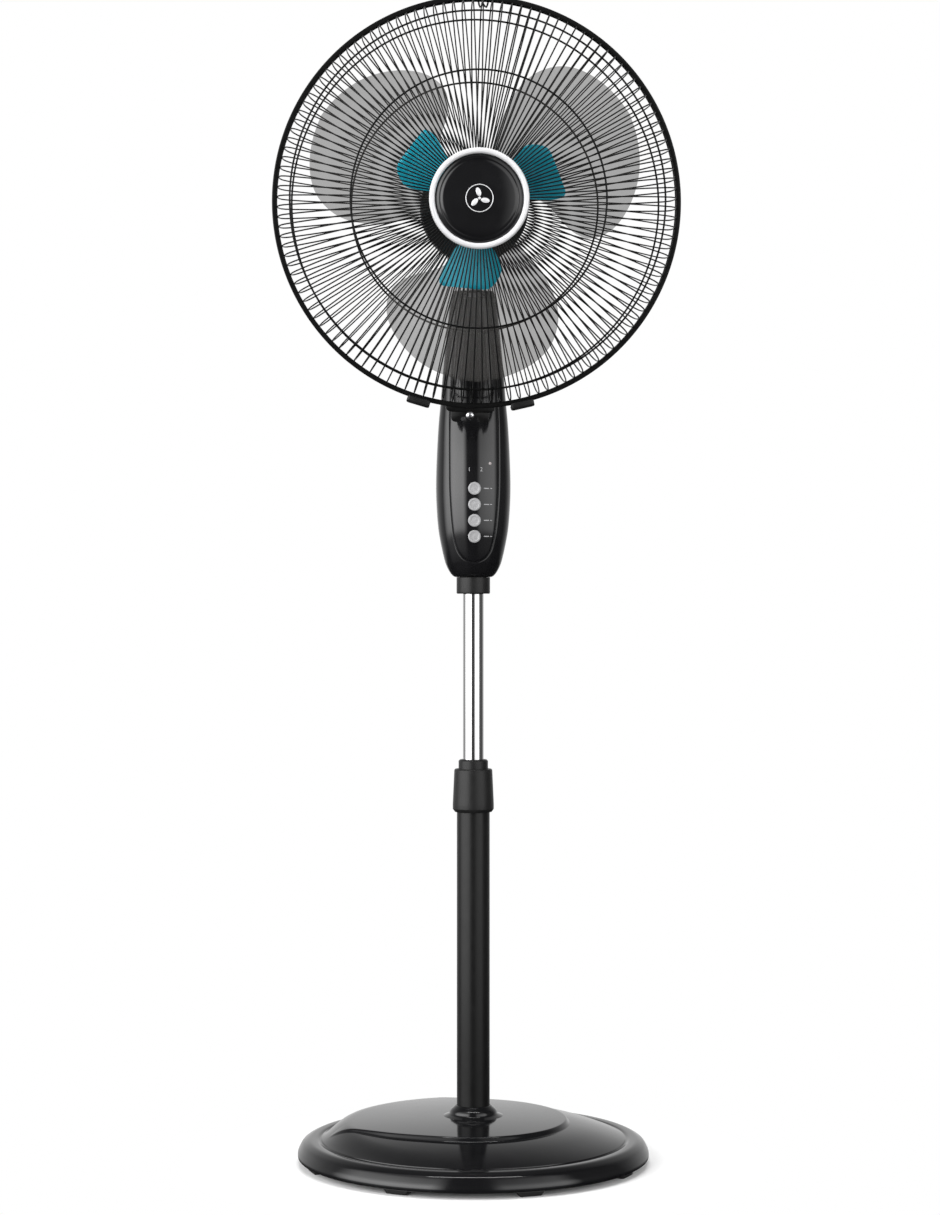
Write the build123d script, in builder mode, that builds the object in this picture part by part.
"""Pedestal fan: weighted round base, telescopic column, control housing, tilting and swinging fan head.

Millimetres, +Z up. The origin is the centre of the base on the floor, and the fan blows towards -Y.
"""

from build123d import *
from math import cos, radians, sin, sqrt
import os

os.makedirs("parts", exist_ok=True)

# ---------------------------------------------------------------- driving dimensions
guard_diameter = 450.0
blade_diameter = 390.0
base_diameter = 400.0
pole_diameter = 37.5
mast_diameter = 23.4
column_width = 85.0
wall = 2.5
sheet = 2.0
gap = 0.3
running_gap = 0.05

# heights above the floor
foot_top = 6.0
pan_top = 9.0
weight_top = 18.0
flange_top = 21.0
dome_top = 48.0
step_rise = 5.0
pole_top = 402.0
collar_top = 448.3
collet_top = 459.0
mast_bottom = 262.0
neck_collar_bottom = 648.0
column_bottom = 667.0
column_top = 992.0
tilt_height = 978.0

# base
base_radius = base_diameter / 2
groove_radius = 173.0
groove_height = 28.0
weight_radius = 125.0
foot_count = 8
foot_clock = 17.0
foot_radius = 186.0
pole_radius = pole_diameter / 2
pole_bore = pole_radius - 1.2
base_screw_circle = 38.0
base_screw_radius = 2.5

# telescopic mast
mast_radius = mast_diameter / 2
mast_top = 712.0
collet_bottom = 380.0

# control housing
button_count = 4
button_pitch = 18.0
button_top_height = 766.7
button_radius = 7.2
board_front = 22.0
board_thickness = 1.6
cord_bore = 3.6
cord_height = 726.0

# fan head, measured from the tilt pivot: height along the swing axis, station along the fan axis
head_lean = 4.0
axis_height = 107.0
rim_station = 98.0
guard_radius = guard_diameter / 2
rim_wire = 4.0
guard_wire = 2.0
guard_wires = 64
guard_clock = -1.7
motor_radius = 48.0
cover_radius = 61.0
shaft_radius = 4.0
blade_radius = blade_diameter / 2
small_blade_radius = 96.0
large_station = 88.0
small_station = 120.0
blade_count = 3
large_clock = 30.5
small_clock = 26.5
badge_radius = 47.7

# swing linkage, measured from the swing axis
post_radius = 14.0
crank_reach = 42.0
crank_throw = 10.4
crank_centre_x = 5.0

# ---------------------------------------------------------------- frames
lean = radians(head_lean)
forward = Vector(0, -cos(lean), -sin(lean))
upward = Vector(0, -sin(lean), cos(lean))
pivot = Vector(0, 0, tilt_height)
neck = Plane(origin=pivot, x_dir=(1, 0, 0), z_dir=upward)
head = Plane(origin=pivot + upward * axis_height, x_dir=(1, 0, 0), z_dir=forward)
fan_axis = Axis(head.origin, forward)


def meridian(angle):
    """Plane through the fan axis: local x is the radius at a clock angle, local y the station."""
    outward = head.x_dir * cos(radians(angle)) + head.y_dir * sin(radians(angle))
    return Plane(origin=head.origin, x_dir=outward, z_dir=outward.cross(forward))


def turn(outline, plane, axis, mode=Mode.ADD):
    """Revolve a closed outline of (radius, height) points, drawn on a plane through the axis."""
    with BuildSketch(plane) as profile:
        with BuildLine():
            Polyline(*outline, close=True)
        make_face()
    revolve(profile.sketch, axis=axis, mode=mode)


def turn_column(outline, mode=Mode.ADD):
    """Revolve (radius, height) points about the column's vertical axis."""
    turn(outline, Plane.XZ, Axis.Z, mode)


def turn_head(outline, mode=Mode.ADD):
    """Revolve (radius, station) points about the fan axis."""
    turn(outline, meridian(0), fan_axis, mode)


def tube_outline(inner, outer, low, high):
    """Corners of a plain ring's section."""
    return [(inner, low), (outer, low), (outer, high), (inner, high)]


def disc_at(plane, radius, length, spots=((0, 0),), mode=Mode.ADD):
    """Extrude circles from a plane at each (x, y) spot."""
    with BuildSketch(plane) as circles:
        with Locations(*spots):
            Circle(radius)
    extrude(circles.sketch, amount=length, mode=mode)


def block_at(plane, width, depth, length, spots=((0, 0),), mode=Mode.ADD):
    """Extrude rectangles from a plane at each (x, y) spot."""
    with BuildSketch(plane) as rectangles:
        with Locations(*spots):
            Rectangle(width, depth)
    extrude(rectangles.sketch, amount=length, mode=mode)


def save(piece, name):
    """Label a finished piece and write it as its own STEP file."""
    piece.part.label = name
    export_step(piece.part, f"parts/{name}.step")


# ---------------------------------------------------------------- base
with BuildPart() as base_feet:
    with BuildSketch() as pads:
        with PolarLocations(foot_radius, foot_count, start_angle=foot_clock - 90):
            SlotOverall(36, 12, rotation=90)
    extrude(amount=foot_top)
save(base_feet, "base_feet")

base_screw_spots = [
    (base_screw_circle * cos(radians(a)), base_screw_circle * sin(radians(a)))
    for a in (45, 135, 225, 315)
]
screw_hole = base_screw_radius + 0.1

with BuildPart() as base_pan:
    turn_column(tube_outline(12, base_radius - 3.2, foot_top, pan_top))
    disc_at(Plane.XY.offset(foot_top), screw_hole, pan_top - foot_top, base_screw_spots, Mode.SUBTRACT)
save(base_pan, "base_pan")

with BuildPart() as base_weight:
    turn_column(tube_outline(14, weight_radius, pan_top, weight_top))
    disc_at(Plane.XY.offset(pan_top), screw_hole, weight_top - pan_top, base_screw_spots, Mode.SUBTRACT)
save(base_weight, "base_weight")

with BuildPart() as pole_socket:
    turn_column(tube_outline(14, 50, weight_top, flange_top))
    turn_column(tube_outline(14, pole_bore - gap, flange_top, 75))
    disc_at(Plane.XY.offset(weight_top), screw_hole, flange_top - weight_top, base_screw_spots, Mode.SUBTRACT)
save(pole_socket, "pole_socket")

with BuildPart() as base_screws:
    disc_at(Plane.XY.offset(foot_top - 3), 4.5, 3, base_screw_spots)
    disc_at(Plane.XY.offset(foot_top), base_screw_radius, flange_top + 2 - foot_top, base_screw_spots)
save(base_screws, "base_screws")


def dome_section(lift, bottom):
    """Half section under the dome's outer curve, lifted by a height and cut off at a bottom height."""
    with BuildSketch(Plane.XZ) as section:
        with BuildLine():
            crown = Line((0, dome_top + lift), (70, dome_top + lift))
            flank = TangentArc(crown @ 1, (groove_radius, groove_height + lift), tangent=crown % 1)
            Polyline(flank @ 1, (groove_radius, bottom), (0, bottom), crown @ 0)
        make_face()
    return section.sketch


# The step's edge leaves the groove on the left, passes in front of the pole and circles round to the back
with BuildPart() as swirl_step:
    revolve(dome_section(step_rise, dome_top - 25), axis=Axis.Z)
    with BuildSketch() as swirl:
        with BuildLine():
            sweep_in = Spline((-168, -20), (-130, -56), (-56, -103), (0, -115), tangents=((0.4, -0.9), (1, 0)))
            around = ThreePointArc(sweep_in @ 1, (110, 0), (60, 105))
            sweep_out = Spline(around @ 1, (0, 122), (-80, 150), tangents=((-0.9, 0.4), (-0.8, 0.6)))
            Polyline(sweep_out @ 1, (-180, 150), (-180, -20), sweep_in @ 0)
        make_face()
    extrude(amount=dome_top + 2 * step_rise, mode=Mode.INTERSECT)

with BuildPart() as base_cover:
    revolve(dome_section(0, groove_height - 2), axis=Axis.Z)
    add(swirl_step.part)
    with BuildSketch(Plane.XZ):
        with BuildLine():
            shelf = Polyline((groove_radius, 26), (groove_radius, 28), (176, 27), (185, 27))
            lip = ThreePointArc(shelf @ 1, (196, 22.5), (base_radius, 13))
            Polyline(lip @ 1, (base_radius, 7), (196, 7), (groove_radius, 7), shelf @ 0)
        make_face()
    revolve(axis=Axis.Z)
    turn_column([(0, 7), (197.3, 7), (197.3, 13), (190, 22), (176, 24), (168, 27), (140, 38), (90, 45), (0, 45.5)],
                Mode.SUBTRACT)
    disc_at(Plane.XY, pole_radius + gap, 70, mode=Mode.SUBTRACT)
save(base_cover, "base_cover")

collar_base = dome_top + step_rise
with BuildPart() as base_collar:
    bore = pole_radius + 0.25
    turn_column([(bore, collar_base), (33, collar_base), (27.5, collar_base + 2.5), (26.5, collar_base + 5),
                 (20.5, collar_base + 11.5), (bore, collar_base + 11.5)])
save(base_collar, "base_collar")

# ---------------------------------------------------------------- pole and height lock
with BuildPart() as lower_pole:
    turn_column(tube_outline(pole_bore, pole_radius, flange_top, pole_top))
save(lower_pole, "lower_pole")

collet_bore = mast_radius + gap
with BuildPart() as pole_collet:
    turn_column([(collet_bore, collet_bottom), (pole_bore - 0.25, collet_bottom), (pole_bore - 0.25, pole_top),
                 (pole_radius - 0.2, pole_top), (pole_radius - 0.2, pole_top + 3), (17.0, pole_top + 3),
                 (17.0, collet_top - 2), (15.2, collet_top), (collet_bore, collet_top)])
    with BuildSketch(Plane.XY.offset(pole_top + 6)):
        with PolarLocations(15, 4, start_angle=45):
            Rectangle(8, 1.6)
    extrude(amount=collar_top - pole_top - 12, mode=Mode.SUBTRACT)
save(pole_collet, "pole_collet")

with BuildPart() as height_collar:
    turn_column([(17.4, 408), (19.2, 408), (19.2, 399), (20.6, 399), (23.3, 403), (23.4, 406), (21.6, collar_top - 1),
                 (20.6, collar_top), (17.4, collar_top)])
save(height_collar, "height_collar")

# ---------------------------------------------------------------- mast
clamp_hole = 2.7
with BuildPart() as inner_tube:
    turn_column(tube_outline(mast_radius - 1.0, mast_radius, mast_bottom, mast_top))
    disc_at(Plane(origin=(0, 30, 695), z_dir=(0, -1, 0)), clamp_hole, 60, mode=Mode.SUBTRACT)
save(inner_tube, "inner_tube")

with BuildPart() as tube_stop:
    turn_column(tube_outline(mast_radius + 0.1, pole_bore - gap, mast_bottom, mast_bottom + 20))
save(tube_stop, "tube_stop")

with BuildPart() as neck_collar:
    clamp_low = column_bottom + wall + 0.4
    turn_column([(mast_radius + 0.1, neck_collar_bottom), (18.6, neck_collar_bottom), (19.1, neck_collar_bottom + 1),
                 (19.1, column_bottom - 0.1), (15.5, column_bottom - 0.1), (15.5, clamp_low), (18.5, clamp_low),
                 (18.5, 706), (mast_radius + 0.1, 706)])
    disc_at(Plane(origin=(0, 30, 695), z_dir=(0, -1, 0)), clamp_hole, 60, mode=Mode.SUBTRACT)
save(neck_collar, "neck_collar")

with BuildPart() as mast_screw:
    disc_at(Plane(origin=(0, 22, 695), z_dir=(0, -1, 0)), 4.5, 3)
    disc_at(Plane(origin=(0, 19, 695), z_dir=(0, -1, 0)), clamp_hole - 0.1, 36)
save(mast_screw, "mast_screw")

# ---------------------------------------------------------------- control housing and neck
half_width = column_width / 2
column_stations = [
    # height, half width and half depth as shares of the widest half width
    (column_bottom, 0.576, 0.541),
    (673.0, 0.66, 0.61),
    (682.0, 0.735, 0.68),
    (698.0, 0.833, 0.77),
    (720.0, 0.937, 0.85),
    (745.0, 0.982, 0.895),
    (771.0, 1.0, 0.906),
    (805.0, 0.975, 0.86),
    (840.0, 0.932, 0.755),
    (868.0, 0.868, 0.66),
    (900.0, 0.818, 0.61),
    (946.0, 0.708, 0.565),
    (972.0, 0.645, 0.53),
    (column_top, 0.553, 0.494),
]


def column_half_axes(height):
    """Half width and half depth of the column's oval section, linear between its stations."""
    for low, high in zip(column_stations, column_stations[1:]):
        if low[0] <= height <= high[0]:
            share = (height - low[0]) / (high[0] - low[0])
            return [half_width * (low[i] + share * (high[i] - low[i])) for i in (1, 2)]


def column_loft(inset, low, high):
    """Oval loft along the column, inset from its outside, between two heights."""
    heights = [low] + [s[0] for s in column_stations if low < s[0] < high] + [high]
    with BuildPart() as body:
        for height in heights:
            across, along = column_half_axes(height)
            with BuildSketch(Plane.XY.offset(height)):
                Ellipse(across - inset, along - inset)
        loft()
    return body.part


def tongue_sketch(inset):
    """Front panel's outline: straight flanks that close in a deep U at the bottom."""
    with BuildSketch(Plane.XZ) as outline:
        with BuildLine():
            top = Line((0, 930 - inset), (22 - inset, 930 - inset))
            flank = Polyline(top @ 1, (27.3 - inset, 850), (27.8 - inset, 775))
            curve = Spline(flank @ 1, (25.6 - inset, 740), (21.6 - inset, 708), (13 - inset, 689), (0, 684 + inset),
                           tangents=((-0.02, -1), (-1, 0)))
            Line(curve @ 1, top @ 0)
        make_face()
        mirror(about=Plane.YZ)
    return outline.sketch


boss_spots = [(x, z) for z, x in ((760, 33), (890, 29.2)) for x in (-x, x)]
boss_radius = 3.2
boss_hole = 1.3

with BuildPart() as column_shell:
    add(column_loft(0, column_bottom, column_top))
    add(column_loft(wall, column_bottom + wall, column_top - wall), mode=Mode.SUBTRACT)
    disc_at(Plane.XY.offset(column_bottom - 1), 15.8, wall + 2, mode=Mode.SUBTRACT)
    block_at(Plane.XY.offset(column_top - wall - 1), 25, 35, wall + 2, mode=Mode.SUBTRACT)

with BuildPart() as column_bosses:
    disc_at(Plane.XZ.offset(-40), boss_radius, 80, boss_spots)
    add(column_loft(wall / 2, column_bottom, column_top), mode=Mode.INTERSECT)

with BuildPart() as column_front:
    add(column_shell.part)
    add(column_bosses.part)
    split(bisect_by=Plane.XZ, keep=Keep.TOP)
    extrude(tongue_sketch(0), amount=60, mode=Mode.SUBTRACT)
    disc_at(Plane.XZ, boss_hole, 12, boss_spots, Mode.SUBTRACT)
save(column_front, "column_front")

with BuildPart() as column_rear:
    add(column_shell.part)
    add(column_bosses.part)
    split(bisect_by=Plane.XZ, keep=Keep.BOTTOM)
    disc_at(Plane.XZ.offset(-60), boss_hole + 0.2, 60, boss_spots, Mode.SUBTRACT)
    disc_at(Plane.XZ.offset(-60), 2.6, 50, boss_spots, Mode.SUBTRACT)
    disc_at(Plane(origin=(0, 20, cord_height), z_dir=(0, 1, 0)), 6.2, 30, mode=Mode.SUBTRACT)
save(column_rear, "column_rear")

with BuildPart() as column_screws:
    disc_at(Plane.XZ.offset(-12), 2.4, 2, boss_spots)
    disc_at(Plane.XZ.offset(-10), boss_hole - 0.1, 18, boss_spots)
save(column_screws, "column_screws")

button_heights = [button_top_height - button_pitch * i for i in range(button_count)]
lens_spot = (17.8, 795.0)
lens_radius = 2.0

with BuildPart() as control_panel:
    add(column_loft(0, column_bottom, column_top))
    add(column_loft(wall, column_bottom + wall, column_top - wall), mode=Mode.SUBTRACT)
    extrude(tongue_sketch(0.6), amount=60, mode=Mode.INTERSECT)
    disc_at(Plane.XZ, button_radius + gap, 60, [(0, z) for z in button_heights], Mode.SUBTRACT)
    disc_at(Plane.XZ, lens_radius + 0.05, 60, [lens_spot], Mode.SUBTRACT)
save(control_panel, "control_panel")


def front_depth(x, height):
    """How far the column's outside stands in front of its axis at a point of the front view."""
    across, along = column_half_axes(height)
    return along * sqrt(1 - (x / across) ** 2)


with BuildPart() as receiver_lens:
    lens_front = front_depth(*lens_spot)
    disc_at(Plane.XZ.offset(lens_front - 5), lens_radius, 5.2, [lens_spot])
save(receiver_lens, "receiver_lens")

switch_front = board_front + 5.0
for name, height in zip(("button_speed", "button_timer", "button_mode", "button_swing"), button_heights):
    with BuildPart() as button:
        face = front_depth(0, height)
        back = switch_front + 1.5
        inside = face - wall - 2.4
        disc_at(Plane.XZ.offset(inside), button_radius, face + 1.8 - inside, [(0, height)])
        chamfer(button.faces().sort_by(Axis.Y)[0].edges(), 0.8)
        disc_at(Plane.XZ.offset(inside - 1.2), button_radius + 1.2, 1.2, [(0, height)])
        disc_at(Plane.XZ.offset(back), 2.0, inside - 1.2 - back, [(0, height)])
    save(button, name)

board_middle = 752.0
board_back = Plane.XZ.offset(board_front - board_thickness)
with BuildPart() as circuit_board:
    block_at(board_back, 41, 100, board_thickness, [(0, board_middle)])
    with BuildSketch(board_back):
        with Locations((0, board_middle)):
            with GridLocations(34, 92, 2, 2):
                Circle(1.6)
    extrude(amount=board_thickness, mode=Mode.SUBTRACT)
    block_at(Plane.XZ.offset(board_front), 6, 6, 3.5, [(0, z) for z in button_heights])
    disc_at(Plane.XZ.offset(board_front + 3.5), 1.7, 1.5, [(0, z) for z in button_heights])
    disc_at(Plane.XZ.offset(board_front), 1.5, 5, [(-6, 788), (8, 788)])
save(circuit_board, "circuit_board")

with BuildPart() as capacitor:
    block_at(Plane(origin=(0, 16, 800), z_dir=(0, 1, 0)), 34, 24, 14)
    fillet(capacitor.edges().filter_by(Axis.Y), 2)
save(capacitor, "capacitor")

gland_wall = 36.0
with BuildPart() as cord_gland:
    disc_at(Plane(origin=(0, 27, cord_height), z_dir=(0, 1, 0)), 6.0, gland_wall + 10 - 27)
    disc_at(Plane(origin=(0, gland_wall + 1.6, cord_height), z_dir=(0, 1, 0)), 8.5, 2.5)
    disc_at(Plane(origin=(0, 26, cord_height), z_dir=(0, 1, 0)), cord_bore, 30, mode=Mode.SUBTRACT)
save(cord_gland, "cord_gland")

# ---------------------------------------------------------------- spine, fork and tilt joint
spine_width = 22.0
spine_depth = 14.0
fork_base = 940.0
ear_inner = 11.2

bolt_radius = 4.0
side_plane = Plane(origin=pivot, x_dir=(0, 1, 0), z_dir=(1, 0, 0))
spine_foot = mast_top + 4
spine_length = fork_base - spine_foot
with BuildPart() as tilt_fork:
    block_at(Plane.XY.offset(mast_top), 30, 24, 4)
    block_at(Plane.XY.offset(spine_foot), spine_width, spine_depth, spine_length)
    block_at(Plane.XY.offset(spine_foot), spine_width - 2 * sheet, spine_depth, spine_length, [(0, sheet)],
             Mode.SUBTRACT)
    block_at(Plane.XY.offset(fork_base), 2 * (ear_inner + 3), 20, 3)
    for side in (-1, 1):
        ear_plane = side_plane.offset(side * (ear_inner + 1.5) - 1.5)
        with BuildSketch(ear_plane):
            Circle(9.5)
            with Locations((0, (fork_base - tilt_height) / 2)):
                Rectangle(19, tilt_height - fork_base)
        extrude(amount=3)
    disc_at(side_plane.offset(-30), bolt_radius + running_gap, 60, mode=Mode.SUBTRACT)
save(tilt_fork, "tilt_fork")

ear_outer = ear_inner + 3.0
with BuildPart() as tilt_bolt:
    disc_at(side_plane.offset(-ear_outer - 3.2), 6.5, 3)
    disc_at(side_plane.offset(-ear_outer - 0.2), bolt_radius, 2 * ear_outer + 4.6)
save(tilt_bolt, "tilt_bolt")

with BuildPart() as tilt_nut:
    with BuildSketch(side_plane.offset(ear_outer + 0.2)):
        RegularPolygon(6.5, 6)
        Circle(bolt_radius + 0.05, mode=Mode.SUBTRACT)
    extrude(amount=4)
save(tilt_nut, "tilt_nut")

spindle_radius = 6.0
flange_low = 26.0
flange_high = 30.0
link_low = 32.0
link_thick = 3.5
with BuildPart() as tilt_bracket:
    disc_at(side_plane.offset(-ear_inner + 0.4), 10.5, 2 * ear_inner - 0.8)
    disc_at(neck, 8.0, flange_high)
    disc_at(neck.offset(flange_low), 19.0, flange_high - flange_low)
    disc_at(neck.offset(flange_high), 2.5, link_thick + 4, [(post_radius, 0)])
    disc_at(side_plane.offset(-30), bolt_radius + running_gap, 60, mode=Mode.SUBTRACT)
    disc_at(neck.offset(20), spindle_radius + running_gap, 20, mode=Mode.SUBTRACT)
save(tilt_bracket, "tilt_bracket")

cradle_low = 38.5
cradle_mid = 52.0
cradle_high = 61.0
with BuildPart() as swing_spindle:
    disc_at(neck.offset(20), spindle_radius, 36)
save(swing_spindle, "swing_spindle")

with BuildPart() as spindle_clip:
    with BuildSketch(neck.offset(cradle_mid + 0.5)):
        Circle(8.5)
        Circle(spindle_radius + running_gap, mode=Mode.SUBTRACT)
    extrude(amount=1.6)
save(spindle_clip, "spindle_clip")

# ---------------------------------------------------------------- motor
with BuildPart() as motor_cradle:
    block_at(neck.offset(cradle_low), 34, 32, cradle_high - cradle_low)
    disc_at(neck.offset(cradle_low - 1), 8.0, 30, mode=Mode.SUBTRACT)
    disc_at(neck.offset(cradle_mid), 10.0, 20, mode=Mode.SUBTRACT)
    turn_head(tube_outline(0, motor_radius + 0.2, -40, 40), Mode.SUBTRACT)
save(motor_cradle, "motor_cradle")

with BuildPart() as swing_bush:
    with BuildSketch(neck.offset(cradle_low)):
        Circle(7.95)
        Circle(spindle_radius + running_gap, mode=Mode.SUBTRACT)
    extrude(amount=cradle_mid - cradle_low)
save(swing_bush, "swing_bush")

motor_mid = 2.0
frame_reach = 22.5
bearing_radius = 7.0
hub_front = 36.0
with BuildPart() as motor_front_frame:
    turn_head([(bearing_radius + 0.05, motor_mid + 15), (10.5, motor_mid + 15), (10.5, motor_mid + 20),
               (45.6, motor_mid + 20), (45.6, motor_mid), (motor_radius, motor_mid),
               (motor_radius, motor_mid + frame_reach), (10.5, motor_mid + frame_reach), (10.5, hub_front),
               (bearing_radius + 0.05, hub_front)])
save(motor_front_frame, "motor_front_frame")

with BuildPart() as motor_rear_frame:
    turn_head([(bearing_radius + 0.05, motor_mid - 15), (10.5, motor_mid - 15), (10.5, motor_mid - 20),
               (45.6, motor_mid - 20), (45.6, motor_mid), (motor_radius, motor_mid),
               (motor_radius, motor_mid - frame_reach), (10.5, motor_mid - frame_reach), (10.5, -32),
               (bearing_radius + 0.05, -32)])
save(motor_rear_frame, "motor_rear_frame")

with BuildPart() as stator_core:
    turn_head(tube_outline(24.4, 45.4, motor_mid - 11, motor_mid + 11))
save(stator_core, "stator_core")

with BuildPart() as stator_windings:
    turn_head(tube_outline(27, 42, motor_mid + 11.2, motor_mid + 18.5))
    turn_head(tube_outline(27, 42, motor_mid - 18.5, motor_mid - 11.2))
save(stator_windings, "stator_windings")

with BuildPart() as motor_bearings:
    for low in (motor_mid + 15, motor_mid - 32):
        turn_head(tube_outline(shaft_radius + running_gap, bearing_radius, low, low + 16))
save(motor_bearings, "motor_bearings")

with BuildPart() as rotor_core:
    turn_head(tube_outline(shaft_radius, 23.9, motor_mid - 11, motor_mid + 11))
save(rotor_core, "rotor_core")

with BuildPart() as motor_shaft:
    turn_head([(0, -30), (shaft_radius, -30), (shaft_radius, 147), (shaft_radius - 1, 148), (0, 148)])
save(motor_shaft, "motor_shaft")

# ---------------------------------------------------------------- motor covers
plate_back = 25.0
plate_front = 28.8
chin_drop = axis_height - 27.5
chin_half = 28.0
chin_rear = -62.0
boss_bore = 14.0
boss_outer = 19.0

with BuildPart() as motor_front_cover:
    turn_head(tube_outline(0, cover_radius, plate_back, plate_front))
    block_at(head.offset(plate_back), 2 * chin_half, chin_drop, plate_front - plate_back, [(0, -chin_drop / 2)])
    turn_head(tube_outline(0, boss_outer, plate_front, 46))
    turn_head(tube_outline(0, boss_bore, plate_back, 46), Mode.SUBTRACT)
save(motor_front_cover, "motor_front_cover")


def cover_outline(inset):
    """Section of the rear motor cover's bell, inset from its outside."""
    with BuildSketch(meridian(0)) as bell:
        with BuildLine():
            side = Polyline((0, plate_back), (cover_radius - inset, plate_back), (cover_radius - inset - 1, -25))
            shoulder = Spline(side @ 1, (54 - inset, -62), (36 - inset, -84 + inset), (0, -92 + inset),
                              tangents=((-0.05, -1), (-1, 0)))
            Line(shoulder @ 1, side @ 0)
        make_face()
    return bell.sketch


vent_slots = 18
with BuildPart() as motor_rear_cover:
    revolve(cover_outline(0), axis=fan_axis)
    block_at(head.offset(chin_rear), 2 * chin_half, chin_drop, plate_back - chin_rear, [(0, -chin_drop / 2)])
    revolve(cover_outline(wall), axis=fan_axis, mode=Mode.SUBTRACT)
    inner_drop = chin_drop - wall
    block_at(head.offset(chin_rear + wall), 2 * (chin_half - wall), inner_drop, plate_back - chin_rear - wall,
             [(0, -inner_drop / 2)], Mode.SUBTRACT)
    disc_at(neck.offset(20), 19.8, 20, mode=Mode.SUBTRACT)
    with BuildSketch(head.offset(-100)):
        with PolarLocations(30, vent_slots):
            SlotOverall(26, 4)
    extrude(amount=40, mode=Mode.SUBTRACT)
save(motor_rear_cover, "motor_rear_cover")

# ---------------------------------------------------------------- swing drive
motor_spot = (crank_centre_x, crank_reach)
with BuildPart() as swing_motor:
    disc_at(neck.offset(43), 17.0, 13, [motor_spot])
    disc_at(neck.offset(38), 2.5, 5, [motor_spot])
save(swing_motor, "swing_motor")

crank_pin_spot = (crank_centre_x + crank_throw, crank_reach)
with BuildPart() as crank_disc:
    disc_at(neck.offset(38), 13.5, 4, [motor_spot])
    disc_at(neck.offset(link_low - 0.4), 2.0, 38 - link_low + 0.4, [crank_pin_spot])
    disc_at(neck.offset(37), 2.5 + running_gap, 6, [motor_spot], Mode.SUBTRACT)
save(crank_disc, "crank_disc")

with BuildPart() as link_arm:
    with BuildSketch(neck.offset(link_low)):
        with Locations((post_radius, 0)):
            Circle(5.5)
        with Locations((crank_pin_spot[0], crank_reach)):
            Circle(7.0)
        with Locations(((post_radius + crank_pin_spot[0]) / 2, crank_reach / 2)):
            Rectangle(7, crank_reach)
        with Locations((post_radius, 0)):
            Circle(2.5 + running_gap, mode=Mode.SUBTRACT)
        with Locations((crank_pin_spot[0], crank_reach)):
            Circle(2.0 + 2.6, mode=Mode.SUBTRACT)
    extrude(amount=link_thick)
save(link_arm, "link_arm")

# ---------------------------------------------------------------- guards
hub_ring_radius = 56.2
front_hub_rise = 71.0
tab_plane = Plane(head.location * Location((0, 0, 0), (0, 0, guard_clock)))
rib_start = [(218.4, 2.3), (218.4, 20), (214.5, 32), (204.5, 40), (138.5, 61)]
ring_sections = [(221.3, 2.3, rim_wire), (204.5, 38.2, 2.6), (138.5, 59.0, 2.6)]
rib_planes = [meridian(360 / guard_wires * i) for i in range(guard_wires)]


def wire_guard(side, hub_rise):
    """One dished grille: radial wires joined by rings. Side is 1 in front of the rim and -1 behind it."""
    rib_path = rib_start + [(100, 61 + 0.75 * (hub_rise - 61)), (hub_ring_radius + 1, hub_rise)]
    with BuildPart() as grille:
        with BuildSketch(meridian(0)):
            for radius, rise, thick in ring_sections + [(hub_ring_radius, hub_rise, 3.6)]:
                with Locations((radius, rim_station + side * rise)):
                    Rectangle(thick, thick)
        revolve(axis=fan_axis)
        with BuildSketch(*rib_planes) as rib:
            with BuildLine():
                Polyline(*[(radius, rim_station + side * rise) for radius, rise in rib_path])
            trace(line_width=guard_wire)
        extrude(amount=guard_wire / 2, both=True)
    return grille.part


with BuildPart() as rear_guard:
    add(wire_guard(-1, rim_station - plate_front - 2.6))
    turn_head(tube_outline(boss_outer + gap, 57, plate_front, plate_front + 2))
save(rear_guard, "rear_guard")

with BuildPart() as front_guard:
    add(wire_guard(1, front_hub_rise))
    with BuildSketch(tab_plane.offset(rim_station + 0.5)):
        with BuildLine():
            Polyline((-5.5, 220), (-3.5, 212.5), (0, 217), (3.5, 212.5), (5.5, 220))
        trace(line_width=1.8)
    extrude(amount=3.4)
save(front_guard, "front_guard")

with BuildPart() as guard_nut:
    turn_head(tube_outline(boss_outer + gap, 33, plate_front + 2.3, plate_front + 11))
    with BuildSketch(head.offset(plate_front + 2)):
        with PolarLocations(33.5, 8):
            Circle(3)
    extrude(amount=10, mode=Mode.SUBTRACT)
save(guard_nut, "guard_nut")

band_half = 6.6
clip_width = 26.0
clip_angles = (-90 - 14.7, -90 + 14.7)
pin_reach = guard_radius + 2.6
pin_station = -10.6
tab_screw_spot = (0, -(guard_radius + 8))


def rim_plane(angle):
    """Plane across the rim at a clock angle: local x is outwards, local y the station, z the tangent."""
    return meridian(angle + guard_clock)


with BuildPart() as guard_ring:
    turn_head([(guard_radius, rim_station - band_half), (guard_radius, rim_station + band_half),
               (220.2, rim_station + band_half), (220.2, rim_station + 5), (223.6, rim_station + 5),
               (223.6, rim_station - 5), (220.2, rim_station - 5), (220.2, rim_station - band_half)])
    with BuildSketch(tab_plane.offset(rim_station - 1.5)):
        with Locations((0, -guard_radius - 2.5)):
            Rectangle(54, 7)
        with Locations((0, -guard_radius - 8)):
            RectangleRounded(42, 14, 3)
        with Locations((-15, -guard_radius - 11.5), (15, -guard_radius - 11.5)):
            Circle(4)
        with Locations(tab_screw_spot):
            Circle(2.1, mode=Mode.SUBTRACT)
    extrude(amount=3)
    for angle in clip_angles:
        for side in (-1, 1):
            with BuildSketch(rim_plane(angle).offset(side * (clip_width / 2 + 2) - 1.5)):
                with Locations((pin_reach - 1.5, rim_station + pin_station + 1.7)):
                    Rectangle(7, 7.6)
                with Locations((pin_reach, rim_station + pin_station)):
                    Circle(1.25, mode=Mode.SUBTRACT)
            extrude(amount=3)
save(guard_ring, "guard_ring")

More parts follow.
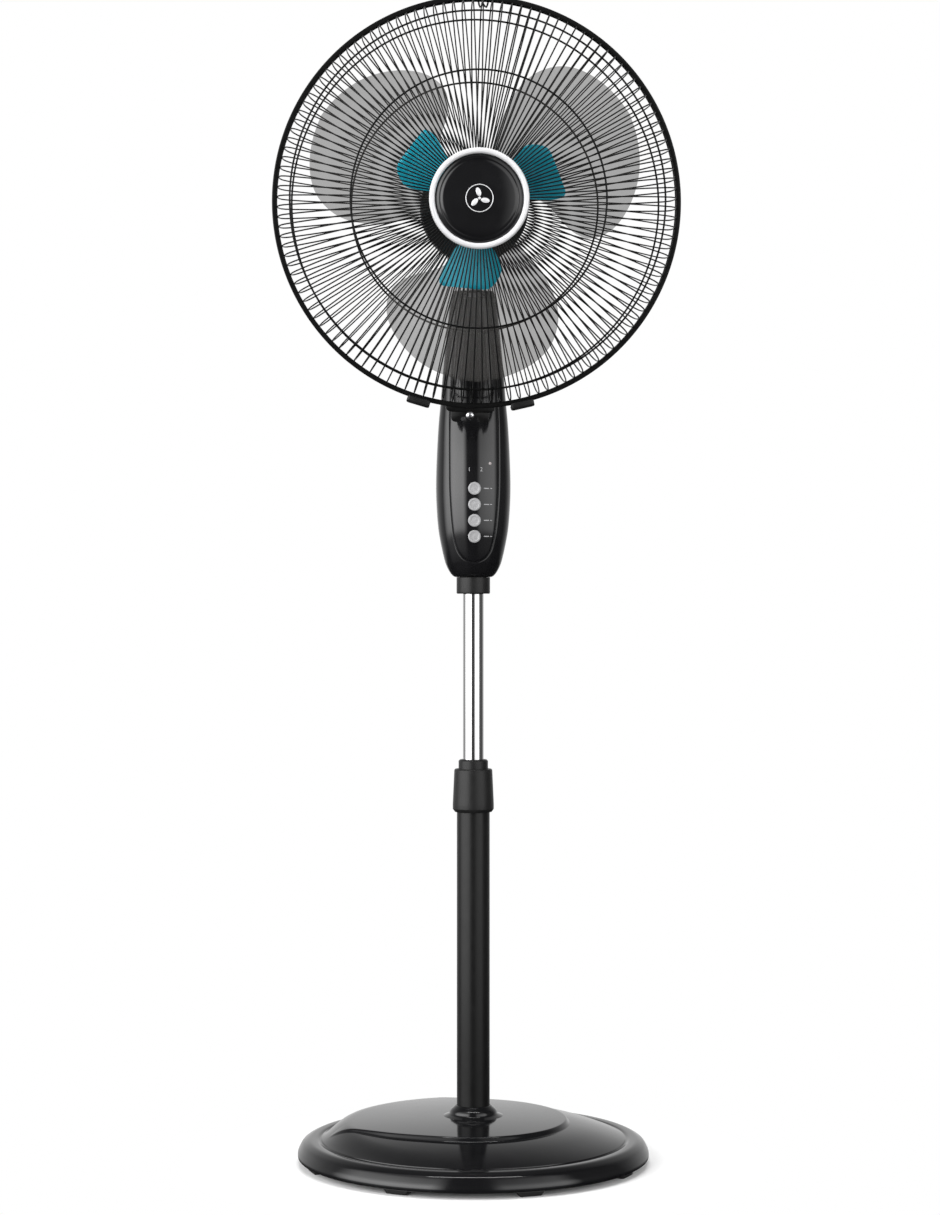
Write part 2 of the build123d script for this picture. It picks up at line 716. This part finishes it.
with BuildPart() as clip_pins:
    for angle in clip_angles:
        with BuildSketch(rim_plane(angle).offset(-clip_width / 2 - 3.4)):
            with Locations((pin_reach, rim_station + pin_station)):
                Circle(1.2)
        extrude(amount=clip_width + 6.8)
save(clip_pins, "clip_pins")

for name, angle in zip(("clip_left", "clip_right"), clip_angles):
    with BuildPart() as clip:
        with BuildSketch(rim_plane(angle).offset(-clip_width / 2)):
            with BuildLine():
                Polyline((guard_radius + 0.4, rim_station + pin_station), (guard_radius + 0.4, rim_station + 7),
                         (222.6, rim_station + 7), (222.6, rim_station + 9.4), (230, rim_station + 9.4),
                         (233, rim_station + 6), (232, rim_station - 4), (229.4, rim_station + pin_station),
                         close=True)
            make_face()
            with Locations((pin_reach, rim_station + pin_station)):
                Circle(2.2)
            with Locations((pin_reach, rim_station + pin_station)):
                Circle(1.27, mode=Mode.SUBTRACT)
        extrude(amount=clip_width)
    save(clip, name)

with BuildPart() as guard_screw:
    disc_at(tab_plane.offset(rim_station + 1.6), 4.8, 3.6, [tab_screw_spot])
    fillet(guard_screw.faces().sort_by(fan_axis)[-1].edges(), 3.0)
    disc_at(tab_plane.offset(rim_station - 9), 2.0, 10.6, [tab_screw_spot])
save(guard_screw, "guard_screw")

with BuildPart() as guard_screw_nut:
    with BuildSketch(tab_plane.offset(rim_station - 5.2)):
        with Locations(tab_screw_spot):
            RegularPolygon(4.0, 6)
            Circle(2.05, mode=Mode.SUBTRACT)
    extrude(amount=3.6)
save(guard_screw_nut, "guard_screw_nut")

# ---------------------------------------------------------------- badge
badge_back = rim_station + 67.0
with BuildPart() as badge_ring:
    turn_head([(badge_radius + 0.2, badge_back), (54.1, badge_back), (54.1, badge_back + 8), (52.6, badge_back + 10),
               (49.6, badge_back + 10), (badge_radius + 0.2, badge_back + 8)])
save(badge_ring, "badge_ring")

with BuildPart() as badge_disc:
    with BuildSketch(meridian(0)):
        with BuildLine():
            face = TangentArc((0, badge_back + 9.4), (badge_radius, badge_back + 6), tangent=(1, 0))
            Polyline(face @ 1, (badge_radius, badge_back + 1), (0, badge_back + 1), face @ 0)
        make_face()
    revolve(axis=fan_axis)
save(badge_disc, "badge_disc")

# ---------------------------------------------------------------- blades
blade_thickness = 2.0
large_pitch = 20.0
small_pitch = 24.0
hub_radius = 40.0


def blade_plane(angle, station, pitch):
    """Plane of a flat blade: local y is outwards at a clock angle, local x leans back by the pitch."""
    outward = meridian(angle).x_dir
    across = forward.cross(outward) * -cos(radians(pitch)) + forward * sin(radians(pitch))
    return Plane(origin=head.origin + forward * station, x_dir=across, z_dir=across.cross(outward))


def blade_angles(clock):
    """Clock angles of one set of blades."""
    return [clock + 360 / blade_count * i for i in range(blade_count)]


with BuildPart() as large_blades:
    with BuildSketch(*[blade_plane(a, large_station, large_pitch) for a in blade_angles(large_clock)]):
        with BuildLine():
            root = Line((-34, 22), (34, 22))
            Spline(root @ 1, (66, 66), (90, 105), (94, 132), (70, 170), (0, blade_radius), (-76, 166), (-105, 122),
                   (-92, 84), (-50, 60), root @ 0)
        make_face()
    extrude(amount=blade_thickness / 2, both=True)
    turn_head(tube_outline(0, hub_radius - 1, 50, 130), Mode.SUBTRACT)
    turn_head([(shaft_radius + 0.1, 70), (12, 70), (12, 103.5), (hub_radius - 2.5, 103.5), (hub_radius - 2.5, 70),
               (hub_radius, 70), (hub_radius, 105), (hub_radius - 2, 106.5), (shaft_radius + 0.1, 106.5)])
save(large_blades, "large_blades")

small_hub = hub_radius + 4.0
with BuildPart() as small_blades:
    with BuildSketch(*[blade_plane(a, small_station, small_pitch) for a in blade_angles(small_clock)]):
        with BuildLine():
            Polyline((-34, 26), (32, 26), (42, 56), (38, 82), (-20, small_blade_radius), (-38, small_blade_radius - 6),
                     (-46, 58), close=True)
        make_face()
    extrude(amount=blade_thickness / 2, both=True)
    turn_head(tube_outline(0, small_hub - 1, 90, 150), Mode.SUBTRACT)
    turn_head([(shaft_radius + 0.1, 107), (12, 107), (12, 132.5), (small_hub - 2.5, 132.5), (small_hub - 2.5, 107),
               (small_hub, 107), (small_hub, 133), (small_hub - 3, 135), (shaft_radius + 0.1, 135)])
save(small_blades, "small_blades")

with BuildPart() as blade_nut:
    turn_head([(shaft_radius + 0.1, 135.2), (17, 135.2), (16, 144), (11, 151), (0, 152), (0, 148.5),
               (shaft_radius + 0.1, 148.5)])
save(blade_nut, "blade_nut")
